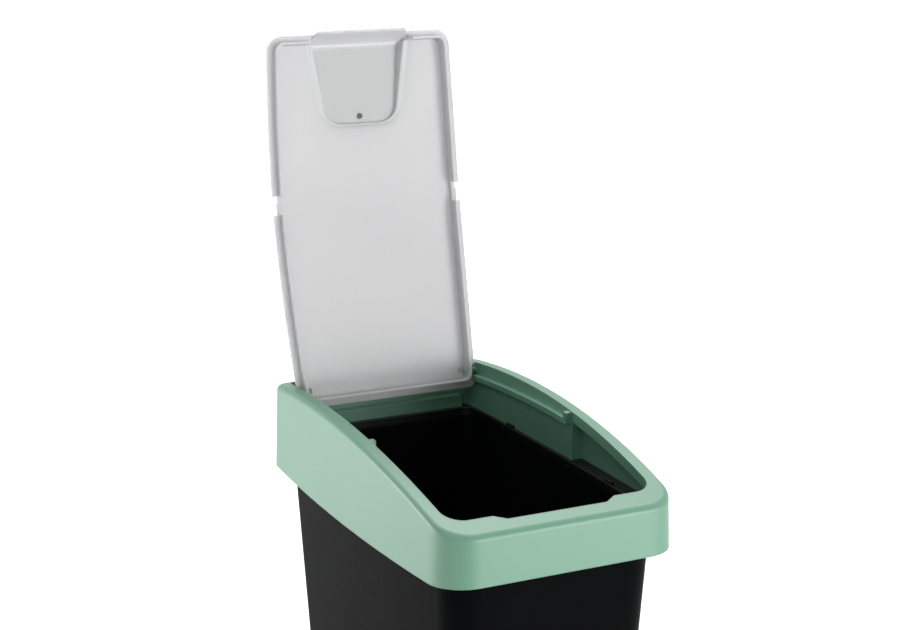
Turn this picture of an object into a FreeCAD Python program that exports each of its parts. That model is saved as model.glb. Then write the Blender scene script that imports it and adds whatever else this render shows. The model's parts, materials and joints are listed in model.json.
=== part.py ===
import FreeCAD, Part
import math
import os
import re

import Sketcher

# Kitchen bin: a tapered bucket, a collar that lifts off it, and a flip lid with a grip cap.
# Millimetres, +Z up, front of the bin towards -Y, origin on the floor under the middle of the bin.

SIZES = {
    # collar, outer form
    "collar_width": 230.0,
    "collar_length": 383.0,
    "side_bow": 5.2,
    "front_corner": 33.0,
    "rear_corner": 16.0,
    "collar_draft": 1.9,
    "collar_overlap": 31.0,
    "crown_height": 82.0,
    "crown_place": 77.0,
    "crown_radius": 935.0,
    "skirt_dip": 5.0,
    "skirt_dip_place": 43.0,
    "trim_margin": 3.0,
    "top_bevel": 3.0,
    "top_soften": 1.1,
    "collar_wall": 2.5,
    "band_thickness": 2.6,
    # collar, opening with its turned-down lip
    "opening_side": 15.7,
    "opening_front": 24.4,
    "opening_rear": 7.5,
    "opening_front_corner": 18.0,
    "opening_rear_corner": 10.0,
    "lip_depth": 10.0,
    "lip_wall": 2.2,
    "cutout_depth": 6.5,
    "cutout_width": 92.0,
    "cutout_flare": 10.5,
    # collar, inner walls, rails and pivots
    "return_place": -22.0,
    "return_wall": 2.2,
    "ledge_height": 12.0,
    "ledge_reach": 9.0,
    "ledge_width": 172.0,
    "seat_rib_spacing": 120.0,
    "seat_rib_wall": 2.5,
    "seat_rib_reach": 15.0,
    "rail_width": 5.8,
    "rail_height": 5.5,
    "rail_seat_gap": 0.3,
    "rail_stop_gap": 6.9,
    "nub_place": -17.0,
    "nub_width": 5.6,
    "nub_height": 6.0,
    "stub_diameter": 6.0,
    "stub_reach": 11.0,
    "hinge_setback": 25.5,
    "hinge_height": 70.0,
    "hinge_clearance": 0.08,
    # bucket
    "bucket_height": 440.0,
    "bucket_inset": 12.3,
    "bucket_end_inset": 13.8,
    "bucket_draft": 3.1,
    "bucket_wall": 2.2,
    "bucket_floor": 2.6,
    "bucket_front_corner": 28.0,
    "bucket_rear_corner": 16.0,
    "base_round": 7.0,
    "base_recess": 3.0,
    "foot_width": 14.0,
    "base_rib_wall": 4.0,
    "rim_gap": 1.2,
    "rim_thickness": 2.4,
    "rim_lip": 4.3,
    "rim_turn_down": 10.0,
    "rim_turn_wall": 2.0,
    "lug_length": 13.0,
    "lug_width": 2.0,
    "lug_height": 3.0,
    "lug_spacing": 184.0,
    # lid
    "lid_gap": 1.8,
    "lid_front_lap": 0.7,
    "lid_rear_gap": 2.0,
    "lid_front_corner": 15.0,
    "lid_rear_corner": 9.0,
    "lid_skin": 2.2,
    "lid_overhang": 6.5,
    "lid_skirt_depth": 7.5,
    "lid_skirt_wall": 2.0,
    "lid_skirt_corner": 8.0,
    "panel_rise": 4.6,
    "lid_bend_place": -12.0,
    "lid_bend_height": 70.4,
    "lid_bend_radius": 690.0,
    "lid_front_tilt": 5.4,
    "lid_rear_tilt": 0.2,
    "lid_front_radius": 2050.0,
    "lid_rear_radius": 2050.0,
    "lid_open_angle": 102.8,
    "notch_length": 15.0,
    "notch_depth": 3.4,
    "notch_step_length": 6.6,
    "notch_step_depth": 4.8,
    "hinge_notch": 10.5,
    "barrel_diameter": 9.0,
    "barrel_length": 7.0,
    "barrel_gap": 5.5,
    # grip hood of the lid and the cap over it
    "hood_width": 112.6,
    "hood_end_width": 92.0,
    "hood_length": 95.6,
    "hood_corner": 29.0,
    "hood_draft": 20.0,
    "hood_roof": 71.3,
    "hood_tilt": 2.7,
    "tab_height": 44.0,
    "tab_width": 89.8,
    "tab_flare": 25.0,
    "tab_lean": 21.0,
    "grip_thickness": 2.0,
    "grip_gap": 0.3,
    "stud_diameter": 5.0,
    "stud_place": 77.1,
    "stud_clearance": 0.1,
}

doc = FreeCAD.newDocument("kitchen_bin")
sheet = doc.addObject("Spreadsheet::Sheet", "Sizes")
for row, (alias, number) in enumerate(SIZES.items(), start=1):
    sheet.set(f"A{row}", str(number))
    sheet.setAlias(f"A{row}", alias)
doc.recompute()


def named(text):
    # Puts the sheet's name before every alias in a formula.
    return re.sub(r"[a-z_]+", lambda word: "Sizes." + word[0] if word[0] in SIZES else word[0], text)


def worth(text):
    return float(sheet.evalExpression(named(text)))


# Formulas that several pieces share
HALF_WIDTH = "( collar_width / 2 )"
HALF_LENGTH = "( collar_length / 2 )"
SIDE_RADIUS = "( ( collar_length ^ 2 / 4 + side_bow ^ 2 ) / ( 2 * side_bow ) )"
COLLAR_BASE = "( bucket_height - collar_overlap )"
COLLAR_LOW = f"( {COLLAR_BASE} - skirt_dip - trim_margin )"
COLLAR_HIGH = f"( {COLLAR_BASE} + crown_height + trim_margin )"
HINGE_Y = f"( {HALF_LENGTH} - hinge_setback )"
HINGE_Z = f"( {COLLAR_BASE} + hinge_height )"
LIP_RADIUS = f"( {SIDE_RADIUS} - opening_side )"
LIP_SPAN = f"( sqrt( {LIP_RADIUS} ^ 2 - {HINGE_Y} ^ 2 ) + {HALF_WIDTH} - {SIDE_RADIUS} )"
OPENING_FRONT_Y = f"( opening_front - {HALF_LENGTH} )"


def axis_plane(body, role):
    for feature in body.Origin.OriginFeatures:
        if feature.Role == role:
            return feature


def bind(item, prop, formula):
    item.setExpression(prop, named(formula))


def new_body(label, placement=None):
    body = doc.addObject("PartDesign::Body", label)
    if placement is not None:
        body.Placement = placement
    return body


def outline(body, name, role, corners, offset=None):
    # A closed sketch. Each corner is (x, y) or (x, y, radius, side): the run to the next corner is
    # then an arc, with side 1 where it swells outwards and -1 where it swells inwards.
    sketch = body.newObject("Sketcher::SketchObject", name)
    sketch.AttachmentSupport = [(axis_plane(body, role), "")]
    sketch.MapMode = "FlatFace"
    if offset is not None:
        bind(sketch, "AttachmentOffset.Base.z", offset)
    points = [FreeCAD.Vector(worth(corner[0]), worth(corner[1]), 0) for corner in corners]
    ends = []
    for index, corner in enumerate(corners):
        start = points[index]
        finish = points[(index + 1) % len(points)]
        if len(corner) == 2:
            sketch.addGeometry(Part.LineSegment(start, finish))
            ends.append((1, 2))
            continue
        run = finish - start
        radius = worth(corner[2])
        left = FreeCAD.Vector(-run.y, run.x, 0).normalize()
        rise = math.sqrt(radius ** 2 - (run.Length / 2) ** 2)
        centre = start + run * 0.5 + left * (rise * corner[3])
        first, last = (start, finish) if corner[3] > 0 else (finish, start)
        begin = math.atan2(first.y - centre.y, first.x - centre.x)
        stop = math.atan2(last.y - centre.y, last.x - centre.x)
        circle = Part.Circle(centre, FreeCAD.Vector(0, 0, 1), radius)
        sketch.addGeometry(Part.ArcOfCircle(circle, begin, stop))
        ends.append((1, 2) if corner[3] > 0 else (2, 1))
    for index, corner in enumerate(corners):
        after = (index + 1) % len(corners)
        joined = Sketcher.Constraint("Coincident", index, ends[index][1], after, ends[after][0])
        sketch.addConstraint(joined)
        place(sketch, "DistanceX", index, ends[index][0], corner[0], f"across_{index}")
        place(sketch, "DistanceY", index, ends[index][0], corner[1], f"along_{index}")
        if len(corner) > 2:
            number = sketch.addConstraint(Sketcher.Constraint("Radius", index, worth(corner[2])))
            sketch.renameConstraint(number, f"arc_{index}")
            bind(sketch, f"Constraints.arc_{index}", corner[2])
    return sketch


def place(sketch, kind, index, end, formula, name):
    # Ties one coordinate of a corner to its formula, measured from the sketch's origin.
    amount = worth(formula)
    if amount >= 0:
        constraint = Sketcher.Constraint(kind, -1, 1, index, end, amount)
    else:
        constraint = Sketcher.Constraint(kind, index, end, -1, 1, -amount)
        formula = f"-1 * ( {formula} )"
    number = sketch.addConstraint(constraint)
    sketch.renameConstraint(number, name)
    bind(sketch, f"Constraints.{name}", formula)


def plan_corners(insets, front_round, rear_round):
    # The bowed plan of the bin with rounded corners, drawn in from the collar's skirt by the insets
    # at its sides, front and rear. Each corner round touches an end line and a side arc.
    side, front, rear = insets
    radius = f"( {SIDE_RADIUS} - ( {side} ) )"
    shift = f"( {HALF_WIDTH} - {SIDE_RADIUS} )"
    ends = []
    for sign, inset, rounding in ((-1, front, front_round), (1, rear, rear_round)):
        reach = f"( {HALF_LENGTH} - ( {inset} ) )"
        inner = f"( {radius} - ( {rounding} ) )"
        middle = f"( {reach} - ( {rounding} ) )"
        across = f"( sqrt( {inner} ^ 2 - {middle} ^ 2 ) + {shift} )"
        side_x = f"( {shift} + ( {across} - {shift} ) * {radius} / {inner} )"
        side_y = f"( {sign} * {middle} * {radius} / {inner} )"
        ends.append((across, f"( {sign} * {reach} )", side_x, side_y))
    (front_x, front_y, near_x, near_y), (rear_x, rear_y, far_x, far_y) = ends
    return [
        (f"-1 * {front_x}", front_y),
        (front_x, front_y, front_round, 1),
        (near_x, near_y, radius, 1),
        (far_x, far_y, rear_round, 1),
        (rear_x, rear_y),
        (f"-1 * {rear_x}", rear_y, rear_round, 1),
        (f"-1 * {far_x}", far_y, radius, 1),
        (f"-1 * {near_x}", near_y, front_round, 1),
    ]


def prism(label, corners, low, high, placement=None, draft="0", downwards=False):
    # An upright form on a plan, leaning in by the draft as it leaves the plan's height.
    body = new_body(label, placement)
    sketch = outline(body, label + "_plan", "XY_Plane", corners, high if downwards else low)
    pad = body.newObject("PartDesign::Pad", label + "_pad")
    pad.Profile = sketch
    pad.Reversed = downwards
    bind(pad, "Length", f"( {high} ) - ( {low} )")
    bind(pad, "TaperAngle", f"-1 * {draft}")
    doc.recompute()
    return body


def tapered(label, levels):
    # A form with straight sides between plans at several heights, each given as (height, corners).
    body = new_body(label)
    plans = [outline(body, f"{label}_plan_{number}", "XY_Plane", corners, height)
             for number, (height, corners) in enumerate(levels, start=1)]
    loft = body.newObject("PartDesign::AdditiveLoft", label + "_loft")
    loft.Profile = plans[0]
    loft.Sections = plans[1:]
    loft.Ruled = True
    doc.recompute()
    return body


def slab(label, corners, placement=None):
    # A side profile drawn on the YZ plane and carried across the full width of the bin.
    body = new_body(label, placement)
    sketch = outline(body, label + "_profile", "YZ_Plane", corners)
    pad = body.newObject("PartDesign::Pad", label + "_pad")
    pad.Profile = sketch
    pad.Midplane = True
    bind(pad, "Length", "2 * collar_width")
    doc.recompute()
    return body


def block(label, x_low, x_high, y_low, y_high, z_low, z_high, placement=None):
    corners = [(x_low, y_low), (x_high, y_low), (x_high, y_high), (x_low, y_high)]
    return prism(label, corners, z_low, z_high, placement)


def cross_rod(label, diameter, x_low, x_high, placement=None):
    # A round rod across the bin on the hinge axis.
    body = new_body(label, placement)
    sketch = body.newObject("Sketcher::SketchObject", label + "_round")
    sketch.AttachmentSupport = [(axis_plane(body, "YZ_Plane"), "")]
    sketch.MapMode = "FlatFace"
    bind(sketch, "AttachmentOffset.Base.z", x_low)
    centre = FreeCAD.Vector(worth(HINGE_Y), worth(HINGE_Z), 0)
    sketch.addGeometry(Part.Circle(centre, FreeCAD.Vector(0, 0, 1), worth(diameter) / 2))
    place(sketch, "DistanceX", 0, 3, HINGE_Y, "across")
    place(sketch, "DistanceY", 0, 3, HINGE_Z, "along")
    number = sketch.addConstraint(Sketcher.Constraint("Diameter", 0, worth(diameter)))
    sketch.renameConstraint(number, "bore")
    bind(sketch, "Constraints.bore", diameter)
    pad = body.newObject("PartDesign::Pad", label + "_pad")
    pad.Profile = sketch
    bind(pad, "Length", f"( {x_high} ) - ( {x_low} )")
    doc.recompute()
    return body


def combine(kind, label, items):
    result = doc.addObject(kind, label)
    if kind == "Part::Cut":
        result.Base, result.Tool = items
    else:
        result.Shapes = items
    doc.recompute()
    return result


def cut(label, base, tools):
    # Takes the tools away one after another; the last result carries the label.
    for number, tool in enumerate(tools, start=1):
        name = label if number == len(tools) else f"{label}_step_{number}"
        base = combine("Part::Cut", name, [base, tool])
    return base


def fuse(label, items):
    return combine("Part::MultiFuse", label, items)


def common(label, items):
    return combine("Part::MultiCommon", label, items)


def mirrored(label, maker):
    # Makes a piece on the right and its twin on the left: maker takes a label and a sign.
    return [maker(label + "_right", 1), maker(label + "_left", -1)]


def ordered(sign, near, far):
    # Two distances from the middle plane as a low and a high x on one side of it.
    return (near, far) if sign > 0 else (f"-1 * ( {far} )", f"-1 * ( {near} )")


# Collar top: one long arc seen from the side, high at the rear and low at the front.
def under_arc(label, drop, floor):
    radius = f"( crown_radius - ( {drop} ) )"
    centre = f"( {COLLAR_BASE} + crown_height - crown_radius )"
    near = f"( -1 * {HALF_LENGTH} - trim_margin )"
    far = f"( {HALF_LENGTH} + trim_margin )"
    near_z = f"( {centre} + sqrt( {radius} ^ 2 - ( {near} - crown_place ) ^ 2 ) )"
    far_z = f"( {centre} + sqrt( {radius} ^ 2 - ( {far} - crown_place ) ^ 2 ) )"
    return slab(label, [(near, floor), (far, floor), (far, far_z, radius, 1), (near, near_z)])


# Collar skirt: the lower edge sags a little between its front and rear corners.
def above_skirt(label):
    radius = f"( ( ( {HALF_LENGTH} + skirt_dip_place ) ^ 2 + skirt_dip ^ 2 ) / ( 2 * skirt_dip ) )"
    centre = f"( {COLLAR_BASE} - skirt_dip + {radius} )"
    near = f"( -1 * {HALF_LENGTH} - trim_margin )"
    far = f"( {HALF_LENGTH} + trim_margin )"
    near_z = f"( {centre} - sqrt( {radius} ^ 2 - ( {near} - skirt_dip_place ) ^ 2 ) )"
    far_z = f"( {centre} - sqrt( {radius} ^ 2 - ( {far} - skirt_dip_place ) ^ 2 ) )"
    top = f"( {COLLAR_HIGH} + crown_height )"
    return slab(label, [(near, near_z, radius, 1), (far, far_z), (far, top), (near, top)])


def cutout_corners(grow):
    # Wide shallow cut-out in the front of the opening, with flared ends.
    inner = f"( {OPENING_FRONT_Y} + opening_front_corner )"
    mouth = f"( {OPENING_FRONT_Y} - {grow} )"
    outer = f"( {OPENING_FRONT_Y} - cutout_depth - {grow} )"
    narrow = f"( cutout_width / 2 + {grow} )"
    wide = f"( cutout_width / 2 + cutout_flare + {grow} )"
    return [
        (f"-1 * {narrow}", outer),
        (narrow, outer),
        (wide, mouth),
        (wide, inner),
        (f"-1 * {wide}", inner),
        (f"-1 * {wide}", mouth),
    ]


def opening_forms(label, grow):
    # The opening from above and its cut-out, widened all round by grow.
    insets = (f"opening_side - {grow}", f"opening_front - {grow}", f"opening_rear - {grow}")
    plan = plan_corners(insets, f"opening_front_corner + {grow}", f"opening_rear_corner + {grow}")
    main = prism(label + "_main", plan, COLLAR_LOW, COLLAR_HIGH)
    notch = prism(label + "_notch", cutout_corners(grow), COLLAR_LOW, COLLAR_HIGH)
    return [main, notch]


def faces_up(face):
    u_low, u_high, v_low, v_high = face.ParameterRange
    return face.normalAt((u_low + u_high) / 2, (v_low + v_high) / 2).z > math.cos(math.radians(30))


def crown_face(shape):
    return max((face for face in shape.Faces if faces_up(face)), key=lambda face: face.Area)


def shares_edge(edge, face):
    return any(edge.isSame(other) for other in face.Edges)


def top_edges(shape):
    # Outer edges of the collar's curved top face.
    crown = crown_face(shape)
    return [number for number, edge in enumerate(shape.Edges, start=1) if shares_edge(edge, crown)]


def bevel_edges(shape):
    # Upper and lower edges of the bevel that runs round the collar's top face.
    crown = crown_face(shape)
    bevels = [face for face in shape.Faces
              if not face.isSame(crown) and any(shares_edge(edge, crown) for edge in face.Edges)]
    return [number for number, edge in enumerate(shape.Edges, start=1)
            if sum(shares_edge(edge, face) for face in bevels) == 1]


def chamfer(label, base, numbers, size):
    result = doc.addObject("Part::Chamfer", label)
    result.Base = base
    result.Edges = [(number, worth(size), worth(size)) for number in numbers]
    doc.recompute()
    return result


# Lid side profile: two nearly straight halves joined by a soft bend over the nubs.
MEAN_TILT = "( ( lid_front_tilt + lid_rear_tilt ) / 2 )"
BEND_Y = f"( lid_bend_place + lid_bend_radius * sin( {MEAN_TILT} ) )"
BEND_Z = f"( {COLLAR_BASE} + lid_bend_height - lid_bend_radius * cos( {MEAN_TILT} ) )"


def lid_line(offset):
    # Corners of a line parallel to the lid's underside, from front to rear, with their arcs' radii.
    bend = f"( lid_bend_radius + {offset} )"
    halves = []
    for end, tilt, radius in ((f"( -1 * {HALF_LENGTH} )", "lid_front_tilt", "lid_front_radius"),
                              (HALF_LENGTH, "lid_rear_tilt", "lid_rear_radius")):
        centre_y = f"( {BEND_Y} + ( {radius} - lid_bend_radius ) * sin( {tilt} ) )"
        centre_z = f"( {BEND_Z} + ( lid_bend_radius - {radius} ) * cos( {tilt} ) )"
        grown = f"( {radius} + {offset} )"
        end_z = f"( {centre_z} + sqrt( {grown} ^ 2 - ( {end} - {centre_y} ) ^ 2 ) )"
        joint = (f"( {BEND_Y} - {bend} * sin( {tilt} ) )", f"( {BEND_Z} + {bend} * cos( {tilt} ) )")
        halves.append(((end, end_z), joint, grown))
    (front_end, front_joint, front_arc), (rear_end, rear_joint, rear_arc) = halves
    return [front_end, front_joint, rear_joint, rear_end], [front_arc, bend, rear_arc]


def lid_slab(label, low, high, placement=None):
    # The band between two lines parallel to the lid's underside.
    lower, lower_arcs = lid_line(low)
    upper, upper_arcs = lid_line(high)
    corners = [(*point, radius, -1) for point, radius in zip(lower, lower_arcs)]
    corners.append(lower[-1])
    corners += [(*point, radius, 1) for point, radius in zip(reversed(upper), reversed(upper_arcs))]
    corners.append(upper[0])
    return slab(label, corners, placement)


def stretch(label, y_low, y_high, placement=None):
    # Everything between two stations along the bin, at the height of the collar and lid.
    return block(label, "-1 * collar_width", "collar_width", y_low, y_high, COLLAR_LOW, COLLAR_HIGH,
                 placement)


def collar_form(label, inset):
    # The collar's drafted wall, drawn in by inset.
    start = f"( {inset} - ( skirt_dip + trim_margin ) * tan( collar_draft ) )"
    plan = plan_corners((start, start, start), f"front_corner - {inset}", f"rear_corner - {inset}")
    return prism(label, plan, COLLAR_LOW, COLLAR_HIGH, draft="collar_draft")


def make_collar():
    outer = collar_form("collar_outer", "0")
    crown = under_arc("collar_crown", "0", COLLAR_LOW)
    block_form = common("collar_block", [outer, crown, above_skirt("collar_skirt_line")])
    beveled = chamfer("collar_beveled", block_form, top_edges(block_form.Shape), "top_bevel")
    rounded = chamfer("collar_rounded", beveled, bevel_edges(beveled.Shape), "top_soften")

    core = collar_form("collar_core", "collar_wall")
    under_band = under_arc("collar_under_band", "band_thickness", COLLAR_LOW)
    hollow = common("collar_hollow", [core, under_band])

    # Channel between the skirt and the lip, closed at its front end by the two return walls.
    return_walls = block("return_walls", "-1 * collar_width", "collar_width", "return_place",
                         "return_place + return_wall", "bucket_height", COLLAR_HIGH)
    channel = cut("collar_channel", hollow, opening_forms("lip_outside", "lip_wall") + [return_walls])

    # Below the rim everything is open, and the front half is open below the lip.
    below_rim = block("below_rim", "-1 * collar_width", "collar_width", "-1 * collar_length",
                      "collar_length", COLLAR_LOW, "bucket_height")
    low_room = common("collar_low_room", [core, below_rim])
    under_lip = under_arc("collar_under_lip", "lip_depth", COLLAR_LOW)
    front_half = block("front_half", "-1 * collar_width", "collar_width", "-1 * collar_length",
                       "return_place", COLLAR_LOW, COLLAR_HIGH)
    front_room = common("collar_front_room", [core, under_lip, front_half])
    frame = cut("collar_frame", rounded, [channel, low_room, front_room] + opening_forms("opening", "0"))

    # Rails that carry the lid's edge, with a pivot nub at the front end of each.
    inner = ("opening_side + rail_width", "opening_front", "opening_rear + rail_width")
    inside = prism("rail_inside", plan_corners(inner, "opening_front_corner", "opening_rear_corner"),
                   COLLAR_LOW, COLLAR_HIGH)
    outer = ("opening_side - lip_wall / 2", "opening_front", "opening_rear")
    outside = prism("rail_outside", plan_corners(outer, "opening_front_corner", "opening_rear_corner"),
                    COLLAR_LOW, COLLAR_HIGH)
    ring = cut("rail_ring", outside, [inside])
    rail_band = lid_slab("rail_band", "-1 * rail_seat_gap - rail_height", "-1 * rail_seat_gap")
    rail_run = stretch("rail_run", "nub_place - nub_width / 2", f"{HINGE_Y} - rail_stop_gap")
    rails = common("rails", [ring, rail_band, rail_run])
    nub_band = lid_slab("nub_band", "-1 * rail_seat_gap - rail_height / 2", "nub_height - rail_seat_gap")
    nub_run = stretch("nub_run", "nub_place - nub_width / 2", "nub_place + nub_width / 2")
    nubs = common("nubs", [ring, nub_band, nub_run])

    # Ledge across the rear wall, seat ribs inside the front wall, and the two hinge stubs.
    rear_face = f"( {HALF_LENGTH} - opening_rear )"
    rear_ledge = block("rear_ledge", "-1 * ledge_width / 2", "ledge_width / 2", f"{rear_face} - ledge_reach",
                       f"{rear_face} + lip_wall / 2", "bucket_height", "bucket_height + ledge_height")

    def seat_rib(label, sign):
        near, far = ordered(sign, "seat_rib_spacing / 2 - seat_rib_wall / 2",
                            "seat_rib_spacing / 2 + seat_rib_wall / 2")
        return block(label, near, far, f"-1 * {HALF_LENGTH}", f"seat_rib_reach - {HALF_LENGTH}",
                     "bucket_height", COLLAR_HIGH)

    ribs = common("seat_ribs", [hollow, fuse("seat_rib_pair", mirrored("seat_rib", seat_rib))])

    def hinge_stub(label, sign):
        near, far = ordered(sign, f"{LIP_SPAN} - stub_reach", f"{LIP_SPAN} + lip_wall / 2")
        return cross_rod(label, "stub_diameter", near, far)

    return fuse("collar", [frame, rails, nubs, rear_ledge, ribs] + mirrored("hinge_stub", hinge_stub))


BUCKET_INSETS = ("bucket_inset", "bucket_end_inset", "bucket_end_inset")


def bucket_form(label, grow, low, high):
    # The bucket's leaning wall between two heights, drawn in by grow, with a softly turned base.
    knee = "( base_round * ( 1 - cos( 45 ) ) )"
    levels = []
    turns = [
        (low, "base_round"),
        (f"( {low} + {knee} )", knee),
        (f"( {low} + base_round )", "0"),
        (high, "0"),
    ]
    for height, turn in turns:
        lean = f"( {grow} + {turn} + ( bucket_height - {height} ) * tan( bucket_draft ) )"
        insets = [f"{inset} + {lean}" for inset in BUCKET_INSETS]
        less = f"{grow} - {turn}"
        plan = plan_corners(insets, f"bucket_front_corner - {less}", f"bucket_rear_corner - {less}")
        levels.append((height, plan))
    return tapered(label, levels)


def make_bucket():
    rim = "bucket_height"
    outer = bucket_form("bucket_outer", "0", "0", rim)
    cavity = bucket_form("bucket_cavity", "bucket_wall", "( base_recess + bucket_floor )",
                         "( bucket_height - rim_thickness )")
    lip = "( bucket_wall + rim_lip )"
    mouth_plan = plan_corners([f"{inset} + {lip}" for inset in BUCKET_INSETS],
                              f"bucket_front_corner - {lip}", f"bucket_rear_corner - {lip}")
    mouth = prism("bucket_mouth", mouth_plan, "( bucket_height - 2 * rim_thickness )", rim)

    # Flat rim flange with a turned-down edge, which carries the collar.
    edge = "( collar_wall + rim_gap + collar_overlap * tan( collar_draft ) )"
    below_edge = f"( {edge} + rim_turn_wall )"
    low = "( bucket_height - rim_turn_down )"
    under_top = "( bucket_height - rim_thickness )"
    rim_forms = []
    for label, inset, top in (("rim_flange", edge, rim), ("rim_under", below_edge, under_top)):
        plan = plan_corners([inset] * 3, f"front_corner - {inset}", f"rear_corner - {inset}")
        rim_forms.append(prism(label, plan, low, top))
    flange, under = rim_forms
    hooked = cut("rim_hook", flange, [under])

    # Foot ring: the base is raised inside a band along its edge, with two crossed ribs below it.
    lean = "bucket_height * tan( bucket_draft )"
    ring = [f"{inset} + {lean} + foot_width" for inset in BUCKET_INSETS]
    hollow = prism("foot_hollow", plan_corners(ring, "foot_width", "foot_width"), "0", "base_recess")
    long_rib = block("base_rib_long", "-1 * base_rib_wall / 2", "base_rib_wall / 2", f"-1 * {HALF_LENGTH}",
                     HALF_LENGTH, "0", "base_recess")
    cross_rib = block("base_rib_cross", f"-1 * {HALF_WIDTH}", HALF_WIDTH, "-1 * base_rib_wall / 2",
                      "base_rib_wall / 2", "0", "base_recess")
    recess = cut("foot_recess", hollow, [long_rib, cross_rib])
    shell = cut("bucket_shell", fuse("bucket_solid", [outer, hooked]), [cavity, mouth, recess])

    # Two lugs a side stand on the rim's inner edge.
    def lugs(label, sign):
        pair = []
        for end, name in ((1, "_rear"), (-1, "_front")):
            middle = f"{end} * lug_spacing / 2"
            radius = f"( {SIDE_RADIUS} - bucket_inset - {lip} )"
            face = f"( sqrt( {radius} ^ 2 - ( lug_spacing / 2 ) ^ 2 ) + {HALF_WIDTH} - {SIDE_RADIUS} )"
            near, far = ordered(sign, f"{face} + lug_width / 4", f"{face} + lug_width * 5 / 4")
            start, end = f"{middle} - lug_length / 2", f"{middle} + lug_length / 2"
            pair.append(block(label + name, near, far, start, end, rim + " - rim_thickness / 2",
                              rim + " + lug_height"))
        return fuse(label, pair)

    return fuse("bucket", [shell] + mirrored("rim_lugs", lugs))


LID_FRONT_Y = f"( {OPENING_FRONT_Y} - lid_front_lap )"
TAB_Z = f"( {COLLAR_BASE} + tab_height )"
ROOF_Z = f"( {COLLAR_BASE} + hood_roof )"
HOOD_HIGH = f"( {ROOF_Z} + lid_skin + grip_thickness + trim_margin )"
STUD_Y = f"( {LID_FRONT_Y} + stud_place )"
ABOVE_HOOD = "panel_rise + hood_roof / 2"
LID_INSETS = ("opening_side + lid_gap", "opening_front - lid_front_lap", "opening_rear + lid_rear_gap")


def hood_form(label, margin, placement):
    # U-shaped plan of the grip hood with leaning walls, drawn in by margin, narrowing to the rear.
    # The hood's sizes hold at the height of the tab's tip.
    near = f"( hood_width / 2 - {margin} )"
    rear = f"( {LID_FRONT_Y} + hood_length - {margin} )"
    start = f"( {LID_FRONT_Y} - hood_corner )"
    turn = f"( hood_corner - {margin} )"
    slope = "( ( hood_width - hood_end_width ) / ( 2 * hood_length ) )"
    secant = f"sqrt( 1 + {slope} ^ 2 )"
    # Each rear corner's round touches the rear line and the slanted side.
    middle_y = f"( {rear} - {turn} )"
    middle_x = f"( {near} - {slope} * ( {middle_y} - {LID_FRONT_Y} ) - {turn} * {secant} )"
    side_x = f"( {middle_x} + {turn} / {secant} )"
    side_y = f"( {middle_y} + {turn} * {slope} / {secant} )"
    front_x = f"( {near} + {slope} * hood_corner )"
    corners = [
        (f"-1 * {front_x}", start),
        (front_x, start),
        (side_x, side_y, turn, 1),
        (middle_x, rear),
        (f"-1 * {middle_x}", rear, turn, 1),
        (f"-1 * {side_x}", side_y),
    ]
    return prism(label, corners, TAB_Z, HOOD_HIGH, placement, draft="hood_draft")


def hood_wedge(label, front, roof, placement):
    # Side profile under the hood's roof and behind its leaning front wall. The roof falls a little
    # to the front, and its height holds at the stud.
    slope = "tan( hood_tilt )"
    lean = "tan( tab_lean )"
    rear = f"( {LID_FRONT_Y} + 2 * hood_length )"
    rise = f"( {roof} - {TAB_Z} - {STUD_Y} * {slope} )"
    meet = f"( ( {front} + {rise} * {lean} ) / ( 1 - {slope} * {lean} ) )"
    return slab(label, [
        (front, TAB_Z),
        (rear, TAB_Z),
        (rear, f"( {roof} + ( {rear} - {STUD_Y} ) * {slope} )"),
        (meet, f"( {roof} + ( {meet} - {STUD_Y} ) * {slope} )"),
    ], placement)


def tab_front(label, placement):
    # Front view of the tab, narrow at its tip and flaring upwards.
    body = new_body(label, placement)
    wide = f"( tab_width / 2 + ( {HOOD_HIGH} - {TAB_Z} ) * tan( tab_flare ) )"
    sketch = outline(body, label + "_view", "XZ_Plane", [
        ("-1 * tab_width / 2", TAB_Z),
        ("tab_width / 2", TAB_Z),
        (wide, HOOD_HIGH),
        (f"-1 * {wide}", HOOD_HIGH),
    ])
    pad = body.newObject("PartDesign::Pad", label + "_pad")
    pad.Profile = sketch
    pad.Midplane = True
    bind(pad, "Length", "2 * collar_length")
    doc.recompute()
    return body


def post(label, diameter, along, placement):
    # A round upright post on the middle plane.
    body = new_body(label, placement)
    sketch = body.newObject("Sketcher::SketchObject", label + "_round")
    sketch.AttachmentSupport = [(axis_plane(body, "XY_Plane"), "")]
    sketch.MapMode = "FlatFace"
    bind(sketch, "AttachmentOffset.Base.z", TAB_Z)
    centre = FreeCAD.Vector(0, worth(along), 0)
    sketch.addGeometry(Part.Circle(centre, FreeCAD.Vector(0, 0, 1), worth(diameter) / 2))
    sketch.addConstraint(Sketcher.Constraint("PointOnObject", 0, 3, -2))
    place(sketch, "DistanceY", 0, 3, along, "along")
    number = sketch.addConstraint(Sketcher.Constraint("Diameter", 0, worth(diameter)))
    sketch.renameConstraint(number, "round")
    bind(sketch, "Constraints.round", diameter)
    pad = body.newObject("PartDesign::Pad", label + "_pad")
    pad.Profile = sketch
    bind(pad, "Length", f"( {HOOD_HIGH} ) - ( {TAB_Z} )")
    doc.recompute()
    return body


def lid_inside(label, inset, placement):
    # A plan that follows the lid's edge, drawn in by inset.
    insets = [f"{edge} + {inset}" for edge in LID_INSETS]
    plan = plan_corners(insets, "lid_skirt_corner", "lid_skirt_corner")
    return prism(label, plan, COLLAR_LOW, COLLAR_HIGH, placement)


def side_span(inset, along):
    # Half-width at a station along the bin of a plan drawn in by inset.
    radius = f"( {SIDE_RADIUS} - ( {inset} ) )"
    return f"( sqrt( {radius} ^ 2 - ( {along} ) ^ 2 ) + {HALF_WIDTH} - {SIDE_RADIUS} )"


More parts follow.
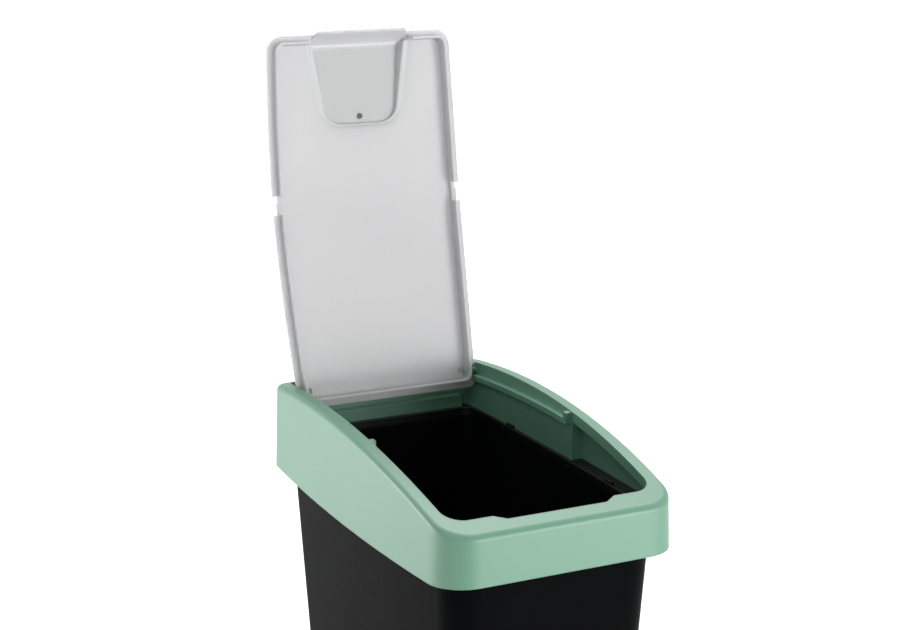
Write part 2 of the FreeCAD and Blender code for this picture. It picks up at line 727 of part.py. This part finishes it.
def make_lid(turned):
    # A flange along the edge, a skirt below it, and a panel raised inside the skirt.
    plan = prism("lid_plan", plan_corners(LID_INSETS, "lid_front_corner", "lid_rear_corner"),
                 COLLAR_LOW, COLLAR_HIGH, turned)
    sheet_form = common("lid_sheet", [plan, lid_slab("flange_band", "0", "lid_skin", turned)])
    inner_edge = "lid_overhang + lid_skirt_wall / 2"
    flange = cut("lid_flange", sheet_form, [lid_inside("flange_inside", inner_edge, turned)])
    ring = cut("skirt_ring", lid_inside("skirt_outside", "lid_overhang", turned),
               [lid_inside("skirt_inside", "lid_overhang + lid_skirt_wall", turned)])
    panel_top = "panel_rise + lid_skin"
    skirt = common("lid_skirt", [ring, lid_slab("skirt_band", "-1 * lid_skirt_depth", panel_top, turned)])
    panel = common("lid_panel", [lid_inside("panel_plan", inner_edge, turned),
                                 lid_slab("panel_band", "panel_rise", panel_top, turned)])

    # Grip hood: a flat roof over the sloping panel, with a leaning front wall that ends in the tab.
    front_face = f"( {LID_FRONT_Y} - lid_skin / cos( tab_lean ) )"
    roof_top = f"( {ROOF_Z} + lid_skin )"
    outside = hood_form("hood_outside", "0", turned)
    hood = common("lid_hood", [outside, hood_wedge("hood_wedge", front_face, roof_top, turned),
                               lid_slab("hood_band", "panel_rise + lid_skin / 2", ABOVE_HOOD, turned)])
    wall = cut("front_wall", hood_wedge("wall_outside", front_face, roof_top, turned),
               [hood_wedge("wall_inside", LID_FRONT_Y, roof_top, turned)])
    tab = common("lid_tab", [wall, outside, tab_front("tab_front", turned)])
    recess = common("lid_recess", [hood_form("hood_inside", "lid_skin", turned),
                                   hood_wedge("recess_wedge", LID_FRONT_Y, ROOF_Z, turned)])

    def barrel(label, sign):
        near, far = ordered(sign, f"{LIP_SPAN} - barrel_gap - barrel_length", f"{LIP_SPAN} - barrel_gap")
        return cross_rod(label, "barrel_diameter", near, far, turned)

    solid = fuse("lid_solid", [flange, skirt, panel, hood] + mirrored("lid_barrel", barrel))
    stud_hole = post("stud_hole", "stud_diameter + 2 * stud_clearance", STUD_Y, turned)

    # Notches at the side edges: a stepped one that clears the nub, and one for the hinge stub.
    edge = side_span("opening_side + lid_gap", "nub_place")
    skirt_face = side_span("opening_side + lid_gap + lid_overhang", "nub_place")
    step_start = "nub_place - notch_step_length / 2"
    step_end = "nub_place + notch_step_length / 2"
    notch_end = "nub_place + notch_length"

    def nub_step(label, sign):
        near, far = ordered(sign, f"{edge} - notch_step_depth", f"{edge} + lid_gap")
        return block(label, near, far, step_start, step_end, COLLAR_LOW, COLLAR_HIGH, turned)

    def nub_notch(label, sign):
        near, far = ordered(sign, f"{edge} - notch_depth", f"{edge} + lid_gap")
        return block(label, near, far, "nub_place", notch_end, COLLAR_LOW, COLLAR_HIGH, turned)

    def skirt_gap(label, sign):
        near, far = ordered(sign, f"{skirt_face} - 2 * lid_skirt_wall", f"{skirt_face} + lid_skirt_wall")
        gap = block(label + "_block", near, far, step_start, notch_end, COLLAR_LOW, COLLAR_HIGH, turned)
        band = lid_slab(label + "_band", "-2 * lid_skirt_depth", "0", turned)
        return common(label, [gap, band])

    def hinge_gap(label, sign):
        near, far = ordered(sign, f"{LIP_SPAN} - barrel_gap", LIP_SPAN)
        return block(label, near, far, f"{HINGE_Y} - hinge_notch / 2", f"{HINGE_Y} + hinge_notch / 2",
                     COLLAR_LOW, COLLAR_HIGH, turned)

    def bore(label, sign):
        near, far = ordered(sign, f"{LIP_SPAN} - 2 * barrel_gap - barrel_length", LIP_SPAN)
        return cross_rod(label, "stub_diameter + 2 * hinge_clearance", near, far, turned)

    tools = [recess, stud_hole]
    for label, maker in (("nub_step", nub_step), ("nub_notch", nub_notch), ("skirt_gap", skirt_gap),
                         ("hinge_gap", hinge_gap), ("hinge_bore", bore)):
        tools += mirrored(label, maker)
    return fuse("lid", [cut("lid_shell", solid, tools), tab])


def make_grip(turned):
    # Cap over the hood, held by a stud that shows on the underside.
    roof_top = f"( {ROOF_Z} + lid_skin )"
    cap_top = f"( {roof_top} + grip_thickness )"
    front = f"( {LID_FRONT_Y} + grip_gap )"
    outside = hood_form("grip_outside", "-1 * ( grip_gap + grip_thickness )", turned)
    above_panel = lid_slab("grip_band", "panel_rise + lid_skin + grip_gap", ABOVE_HOOD, turned)
    shell = common("grip_shell", [outside, above_panel, hood_wedge("grip_wedge", front, cap_top, turned)])
    room = hood_wedge("grip_room", f"( {LID_FRONT_Y} - hood_corner )", roof_top, turned)
    inside = common("grip_inside", [hood_form("grip_inside_plan", "-1 * grip_gap", turned), room])
    stud_band = block("stud_band", "-1 * stud_diameter", "stud_diameter", f"{STUD_Y} - stud_diameter",
                      f"{STUD_Y} + stud_diameter", f"{ROOF_Z} - 5 * stud_clearance",
                      f"{roof_top} + grip_thickness / 2", turned)
    stud = common("grip_stud", [post("grip_post", "stud_diameter", STUD_Y, turned), stud_band])
    return fuse("lid_grip", [cut("grip_cap", shell, [inside]), stud])


def check(items):
    for item in doc.Objects:
        if "Invalid" in item.State or "Error" in item.State:
            raise RuntimeError(f"{item.Label} failed to build")
    for item in items:
        if item.Shape.isNull() or not item.Shape.isValid() or len(item.Shape.Solids) != 1:
            raise RuntimeError(f"{item.Label} has no valid single solid")


# The lid is drawn closed and turned open about its hinge line.
hinge = FreeCAD.Vector(0, worth(HINGE_Y), worth(HINGE_Z))
swing = FreeCAD.Rotation(FreeCAD.Vector(1, 0, 0), -worth("lid_open_angle"))
opened = FreeCAD.Placement(FreeCAD.Vector(0, 0, 0), swing, hinge)

pieces = [make_bucket(), make_collar(), make_lid(opened), make_grip(opened)]
check(pieces)
os.makedirs("parts", exist_ok=True)
for piece in pieces:
    piece.Shape.exportStep(f"parts/{piece.Label}.step")
    print(piece.Label, len(piece.Shape.Solids), round(piece.Shape.Volume))
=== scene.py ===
import json
import math

import bpy
from mathutils import Matrix, Vector

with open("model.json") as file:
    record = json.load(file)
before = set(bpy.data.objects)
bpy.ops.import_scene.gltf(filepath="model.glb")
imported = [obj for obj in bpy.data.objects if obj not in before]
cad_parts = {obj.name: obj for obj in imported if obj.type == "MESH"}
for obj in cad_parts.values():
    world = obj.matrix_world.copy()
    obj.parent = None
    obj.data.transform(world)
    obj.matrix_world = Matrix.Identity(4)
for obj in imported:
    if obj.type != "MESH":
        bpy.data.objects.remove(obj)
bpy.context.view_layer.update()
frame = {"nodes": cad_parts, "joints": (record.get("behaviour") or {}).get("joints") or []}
scene = bpy.context.scene
lidHinge = next(joint for joint in frame["joints"] if joint["name"] == "lid_flip")
white = (1, 1, 1, 1)


def addNode(tree, kind, values=None, **settings):
    node = tree.nodes.new(kind)
    for name, value in settings.items():
        setattr(node, name, value)
    for name, value in (values or {}).items():
        node.inputs[name].default_value = value
    return node


def newMaterial(name):
    material = bpy.data.materials.new(name)
    material.use_nodes = True
    tree = material.node_tree
    tree.nodes.clear()
    output = addNode(tree, "ShaderNodeOutputMaterial")
    surface = addNode(tree, "ShaderNodeBsdfPrincipled")
    tree.links.new(surface.outputs["BSDF"], output.inputs["Surface"])
    return material, tree, surface


def objectPlace(tree):
    return addNode(tree, "ShaderNodeTexCoord").outputs["Object"]


def splitAxes(tree, place):
    axes = addNode(tree, "ShaderNodeSeparateXYZ")
    tree.links.new(place, axes.inputs["Vector"])
    return axes.outputs


def mathNode(tree, operation, first, second=None):
    node = addNode(tree, "ShaderNodeMath", operation=operation)
    for socket, value in zip(node.inputs, (first, second)):
        if isinstance(value, (int, float)):
            socket.default_value = value
        elif value is not None:
            tree.links.new(value, socket)
    return node.outputs["Value"]


def between(tree, factor, low, high):
    return mathNode(tree, "ADD", mathNode(tree, "MULTIPLY", factor, high - low), low)


def rampUp(tree, value, low, high):
    limits = {"From Min": low, "From Max": high}
    node = addNode(tree, "ShaderNodeMapRange", limits, interpolation_type="SMOOTHSTEP")
    tree.links.new(value, node.inputs["Value"])
    return node.outputs["Result"]


def planLength(tree, across, along):
    pair = addNode(tree, "ShaderNodeCombineXYZ")
    tree.links.new(across, pair.inputs["X"])
    tree.links.new(along, pair.inputs["Y"])
    length = addNode(tree, "ShaderNodeVectorMath", operation="LENGTH")
    tree.links.new(pair.outputs["Vector"], length.inputs[0])
    return length.outputs["Value"]


def planDistance(tree, axes, place):
    across = mathNode(tree, "SUBTRACT", axes["X"], place[0])
    along = mathNode(tree, "SUBTRACT", axes["Y"], place[1])
    return planLength(tree, across, along)


def colourRamp(tree, factor, stops):
    ramp = addNode(tree, "ShaderNodeValToRGB")
    for element, (position, colour) in zip(ramp.color_ramp.elements, stops):
        element.position = position
        element.color = (*colour, 1)
    tree.links.new(factor, ramp.inputs["Fac"])
    return ramp.outputs["Color"]


def mixColour(tree, factor, base, colour):
    node = addNode(tree, "ShaderNodeMix", data_type="RGBA")
    first, second = (socket for socket in node.inputs if socket.type == "RGBA")
    tree.links.new(factor, node.inputs["Factor"])
    tree.links.new(base, first)
    second.default_value = (*colour, 1)
    return next(socket for socket in node.outputs if socket.type == "RGBA")


def feeding(surface, socketName):
    return surface.inputs[socketName].links[0].from_socket


mouldLook = {
    "driftDetail": 3.0, "driftLow": 0.35, "driftHigh": 0.65, "grainDetail": 2.0, "grainBreak": 0.6,
    "grainLow": 0.3, "grainHigh": 0.7, "edgeSamples": 6, "glowSpread": (1, 1, 1),
}


def mouldedPlastic(name, look):
    # satin moulded plastic: fine grain, slow tone drift, edges softened as a mould leaves them
    material, tree, surface = newMaterial(name)
    drift = addNode(tree, "ShaderNodeTexNoise", {
        "Scale": look["driftScale"], "Detail": mouldLook["driftDetail"]})
    grain = addNode(tree, "ShaderNodeTexNoise", {
        "Scale": look["grainScale"], "Detail": mouldLook["grainDetail"], "Roughness": mouldLook["grainBreak"]})
    place = objectPlace(tree)
    for node in (drift, grain):
        tree.links.new(place, node.inputs["Vector"])
    stops = [(mouldLook["driftLow"], look["colourLow"]), (mouldLook["driftHigh"], look["colourHigh"])]
    tree.links.new(colourRamp(tree, drift.outputs["Fac"], stops), surface.inputs["Base Color"])
    rough = addNode(tree, "ShaderNodeMapRange", {
        "From Min": mouldLook["grainLow"], "From Max": mouldLook["grainHigh"],
        "To Min": look["roughLow"], "To Max": look["roughHigh"]})
    tree.links.new(grain.outputs["Fac"], rough.inputs["Value"])
    tree.links.new(rough.outputs["Result"], surface.inputs["Roughness"])
    edge = addNode(tree, "ShaderNodeBevel", {"Radius": look["softEdge"]}, samples=mouldLook["edgeSamples"])
    bump = addNode(tree, "ShaderNodeBump", {"Strength": look["bump"], "Distance": look["bumpDepth"]})
    tree.links.new(edge.outputs["Normal"], bump.inputs["Normal"])
    tree.links.new(grain.outputs["Fac"], bump.inputs["Height"])
    tree.links.new(bump.outputs["Normal"], surface.inputs["Normal"])
    surface.inputs["Specular IOR Level"].default_value = look["specular"]
    surface.inputs["Subsurface Weight"].default_value = look["glow"]
    surface.inputs["Subsurface Radius"].default_value = mouldLook["glowSpread"]
    surface.inputs["Subsurface Scale"].default_value = look["glowDepth"]
    return material, tree, surface


def closedPlace(tree):
    # object coordinates turned back about the hinge, as if the lid lay closed
    turn = Matrix.Rotation(math.radians(lidHinge["range_deg"][1]), 3, "X")
    pivot = Vector(lidHinge["pos_m"])
    move = {"Location": pivot - turn @ pivot, "Rotation": turn.to_euler()}
    turned = addNode(tree, "ShaderNodeMapping", move)
    tree.links.new(objectPlace(tree), turned.inputs["Vector"])
    return turned.outputs["Vector"]


def paint(nodeName, material):
    node = frame["nodes"][nodeName]
    node.data.materials.clear()
    node.data.materials.append(material)


bucketLook = {
    "colourLow": (0.0030, 0.0032, 0.0036), "colourHigh": (0.0042, 0.0044, 0.0048), "driftScale": 9.0,
    "grainScale": 900.0, "roughLow": 0.40, "roughHigh": 0.54, "bump": 0.12, "bumpDepth": 0.0004,
    "specular": 0.014, "softEdge": 0.0012, "glow": 0.0, "glowDepth": 0.001,
    "rimSpecular": 0.30, "rimLow": 0.428, "rimHigh": 0.436,
}


def bucketPlastic(look):
    # grained walls, and a smoother rim that shines a little
    material, tree, surface = mouldedPlastic("charcoalPlastic", look)
    height = splitAxes(tree, objectPlace(tree))["Z"]
    rim = rampUp(tree, height, look["rimLow"], look["rimHigh"])
    shine = between(tree, rim, look["specular"], look["rimSpecular"])
    tree.links.new(shine, surface.inputs["Specular IOR Level"])
    return material


collarLook = {
    "colourLow": (0.124, 0.296, 0.197), "colourHigh": (0.132, 0.310, 0.207), "driftScale": 7.0,
    "grainScale": 1100.0, "roughLow": 0.38, "roughHigh": 0.48, "bump": 0.08, "bumpDepth": 0.0003,
    "specular": 0.8, "softEdge": 0.0012, "glow": 0.0, "glowDepth": 0.001,
}


def collarPlastic(look):
    return mouldedPlastic("sagePlastic", look)[0]


# places on the lid and its cap are metres in the frame, with the lid closed
lidLook = {
    "colourLow": (0.485, 0.483, 0.494), "colourHigh": (0.505, 0.503, 0.513), "driftScale": 6.0,
    "grainScale": 1000.0, "roughLow": 0.40, "roughHigh": 0.50, "bump": 0.05, "bumpDepth": 0.0003,
    "specular": 0.4, "softEdge": 0.001, "glow": 0.9, "glowDepth": 0.010,
    # the pocket colour is painted show-through light: lighter and greener, as the green cap seen through the
    # thin roof
    "paintedPocketShowThrough": (0.70, 0.715, 0.72), "pocketFront": 0.0535, "pocketSlope": 0.158, "pocketRear": -0.0808,
    "pocketStart": -0.1578, "pocketRound": 0.020, "pocketBlur": 0.003,
    "marks": [{"place": (-0.003, 0.0107), "radius": 0.0022}, {"place": (0.0, 0.1646), "radius": 0.0040}],
    "markFloor": 0.7, "markStrength": 0.6, "markDepth": 0.0006,
}


def pocketMask(tree, axes, look):
    # 1 in the pocket under the cap, where show-through light is painted: sides that close in to the rear, and
    # round rear corners
    turn = look["pocketRound"]
    behind = mathNode(tree, "SUBTRACT", axes["Y"], look["pocketStart"])
    closing = mathNode(tree, "MULTIPLY", behind, look["pocketSlope"])
    side = mathNode(tree, "SUBTRACT", look["pocketFront"] - turn, closing)
    pastSide = mathNode(tree, "SUBTRACT", mathNode(tree, "ABSOLUTE", axes["X"]), side)
    pastRear = mathNode(tree, "SUBTRACT", axes["Y"], look["pocketRear"] - turn)
    corner = [mathNode(tree, "MAXIMUM", past, 0.0) for past in (pastSide, pastRear)]
    inside = mathNode(tree, "SUBTRACT", turn, planLength(tree, *corner))
    behindWall = rampUp(tree, behind, -look["pocketBlur"], 0.0)
    return mathNode(tree, "MULTIPLY", rampUp(tree, inside, 0.0, look["pocketBlur"]), behindWall)


def markHeight(tree, axes, look):
    # 0 in the floor of each round moulding mark, 1 outside
    height = 1.0
    for mark in look["marks"]:
        away = planDistance(tree, axes, mark["place"])
        dent = rampUp(tree, away, mark["radius"] * look["markFloor"], mark["radius"])
        height = mathNode(tree, "MULTIPLY", dent, height)
    return height


def lidPlastic(look):
    # pale plastic that lets light through, with moulding marks; in the pocket its colour is painted lighter
    # and greener, painted light of the green cap showing through the thin roof
    material, tree, surface = mouldedPlastic("palePlastic", look)
    axes = splitAxes(tree, closedPlace(tree))
    pocket = pocketMask(tree, axes, look)
    # painted light: the pocket is painted lighter and greener, as the green cap seen through the thin roof
    paintedTint = mixColour(tree, pocket, feeding(surface, "Base Color"), look["paintedPocketShowThrough"])
    tree.links.new(paintedTint, surface.inputs["Base Color"])
    marks = addNode(tree, "ShaderNodeBump", {"Strength": look["markStrength"], "Distance": look["markDepth"]})
    tree.links.new(markHeight(tree, axes, look), marks.inputs["Height"])
    tree.links.new(feeding(surface, "Normal"), marks.inputs["Normal"])
    tree.links.new(marks.outputs["Normal"], surface.inputs["Normal"])
    return material


# the stud colour is painted shade, for the shaded recess in the stud's end
gripLook = dict(collarLook, studPlace=(0.0, -0.0907), studRadius=0.0026, studTop=0.4825,
                studShadeColour=(0.004, 0.02, 0.012))


def gripPlastic(look):
    # the same green as the collar, with painted shade in the recess at the stud's end
    material, tree, surface = mouldedPlastic("capPlastic", look)
    axes = splitAxes(tree, closedPlace(tree))
    near = mathNode(tree, "LESS_THAN", planDistance(tree, axes, look["studPlace"]), look["studRadius"])
    below = mathNode(tree, "LESS_THAN", axes["Z"], look["studTop"])
    # painted shade: near-black green in the stud's recess, below its top
    paintedRecessShade = mathNode(tree, "MULTIPLY", near, below)
    paintedTint = mixColour(tree, paintedRecessShade, feeding(surface, "Base Color"), look["studShadeColour"])
    tree.links.new(paintedTint, surface.inputs["Base Color"])
    return material


paint("bucket", bucketPlastic(bucketLook))
paint("collar", collarPlastic(collarLook))
paint("lid", lidPlastic(lidLook))
paint("lid_grip", gripPlastic(gripLook))
print("materials done")


stageLook = {
    "floorSize": 40.0, "floorColour": 0.85, "floorRough": 0.9, "floorSpecular": 0.1,
    "nearGlow": 0.5, "farGlow": 0.85, "nearReach": 0.45, "farReach": 1.4,
    "backgroundLevel": 1.0, "ambient": 0.22, "lampTarget": (0, 0, 0.5),
    "lamps": {
        "rearLeftSoftbox": {"place": (-2.0, 1.4, 0.25), "size": (1.7, 1.2), "power": 50},
        "frontRightSoftbox": {"place": (1.25, -2.35, 0.6), "size": (1.6, 1.15), "power": 49},
        "topSoftbox": {"place": (0.5, 0.9, 2.5), "size": (1.6, 1.6), "power": 38},
        "frontLeftFill": {"place": (-1.5, -1.3, 2.3), "size": (1.2, 1.2), "power": 10},
    },
}


def seenDirectly(tree):
    # 1 for rays that show the background itself: from the camera, or by way of gloss or glass
    path = addNode(tree, "ShaderNodeLightPath")
    mirror = mathNode(tree, "MAXIMUM", path.outputs["Is Glossy Ray"], path.outputs["Is Transmission Ray"])
    return mathNode(tree, "MAXIMUM", path.outputs["Is Camera Ray"], mirror)


def makeFloor(look):
    bpy.ops.mesh.primitive_plane_add(size=look["floorSize"], location=(0, 0, 0))
    floor = bpy.context.object
    floor.name = "studioFloor"
    material, tree, surface = newMaterial("studioPaper")
    surface.inputs["Base Color"].default_value = (look["floorColour"],) * 3 + (1,)
    surface.inputs["Roughness"].default_value = look["floorRough"]
    surface.inputs["Specular IOR Level"].default_value = look["floorSpecular"]
    surface.inputs["Emission Color"].default_value = white
    # the glow that keeps the far floor white is weaker near the bin, where its shadow falls
    axes = splitAxes(tree, objectPlace(tree))
    away = rampUp(tree, planLength(tree, axes["X"], axes["Y"]), look["nearReach"], look["farReach"])
    level = between(tree, away, look["nearGlow"], look["farGlow"])
    glow = mathNode(tree, "MULTIPLY", seenDirectly(tree), level)
    tree.links.new(glow, surface.inputs["Emission Strength"])
    floor.data.materials.append(material)


def makeWorld(look):
    world = bpy.data.worlds.new("studioWorld")
    scene.world = world
    world.use_nodes = True
    tree = world.node_tree
    tree.nodes.clear()
    mix = addNode(tree, "ShaderNodeMixShader")
    tree.links.new(seenDirectly(tree), mix.inputs["Fac"])
    for socket, level in zip(mix.inputs[1:], (look["ambient"], look["backgroundLevel"])):
        background = addNode(tree, "ShaderNodeBackground", {"Color": white, "Strength": level})
        tree.links.new(background.outputs["Background"], socket)
    output = addNode(tree, "ShaderNodeOutputWorld")
    tree.links.new(mix.outputs["Shader"], output.inputs["Surface"])


def aimAlong(thing, direction):
    thing.rotation_euler = Vector(direction).to_track_quat("-Z", "Y").to_euler()


def areaLight(name, look, target):
    data = bpy.data.lights.new(name, "AREA")
    data.shape = "RECTANGLE"
    data.size, data.size_y = look["size"]
    data.energy = look["power"]
    lamp = bpy.data.objects.new(name, data)
    scene.collection.objects.link(lamp)
    lamp.location = look["place"]
    lamp.visible_camera = False
    aimAlong(lamp, Vector(target) - Vector(look["place"]))


makeFloor(stageLook)
makeWorld(stageLook)
for lampName, lampLook in stageLook["lamps"].items():
    areaLight(lampName, lampLook, stageLook["lampTarget"])
print("stage done")


cameraLook = {
    "place": (-0.7215, -1.4500, 0.9819), "aim": (0.42624, 0.87221, -0.23992), "lens": 76.06, "sensor": 36.0,
}


def makeCamera(look):
    data = bpy.data.cameras.new("photoCamera")
    data.sensor_width = look["sensor"]
    data.lens = look["lens"]
    camera = bpy.data.objects.new("photoCamera", data)
    scene.collection.objects.link(camera)
    camera.location = look["place"]
    aimAlong(camera, look["aim"])
    scene.camera = camera


makeCamera(cameraLook)
scene.view_settings.view_transform = "Standard"
print("camera done")
